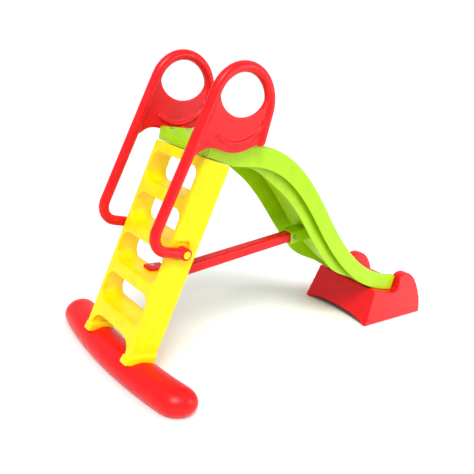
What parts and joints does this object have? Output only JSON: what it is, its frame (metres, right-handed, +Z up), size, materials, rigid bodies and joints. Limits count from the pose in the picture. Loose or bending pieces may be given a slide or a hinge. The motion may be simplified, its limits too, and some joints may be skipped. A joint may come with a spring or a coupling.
{
  "type": "toddler slide",
  "caption": "Garden slide for toddlers: stepped ladder on a bowed base beam, looped handrails, S-curved chute with rolled rims, prop strut and a hollow landing foot.",
  "frame": {"origin": "middle of the footprint's bounding box, on the floor", "axes": "+X down the slide from the ladder to the landing foot, +Y to the left of a child sliding down, +Z up"},
  "size_m": [1.8058, 0.792, 1.0995],
  "materials": {
    "red_plastic": "satin blow-moulded polyethylene",
    "yellow_plastic": "satin blow-moulded polyethylene",
    "green_plastic": "satin blow-moulded polyethylene",
    "steel": "zinc-plated"
  },
  "bodies": {
    "root": {"base_beam": "red_plastic", "ladder": "yellow_plastic", "chute": "green_plastic", "landing_foot": "red_plastic", "strut": "red_plastic", "strut_pin_chute": "steel", "strut_screw_ladder": "steel", "handrail_left": "red_plastic", "handrail_peg_left": "yellow_plastic", "handrail_screw_front_left": "steel", "handrail_screw_rear_left": "steel", "platform_screw_left": "steel", "base_screw_left": "steel", "foot_screw_left": "steel", "handrail_right": "red_plastic", "handrail_peg_right": "yellow_plastic", "handrail_screw_front_right": "steel", "handrail_screw_rear_right": "steel", "platform_screw_right": "steel", "base_screw_right": "steel", "foot_screw_right": "steel"}
  },
  "joints": []
}
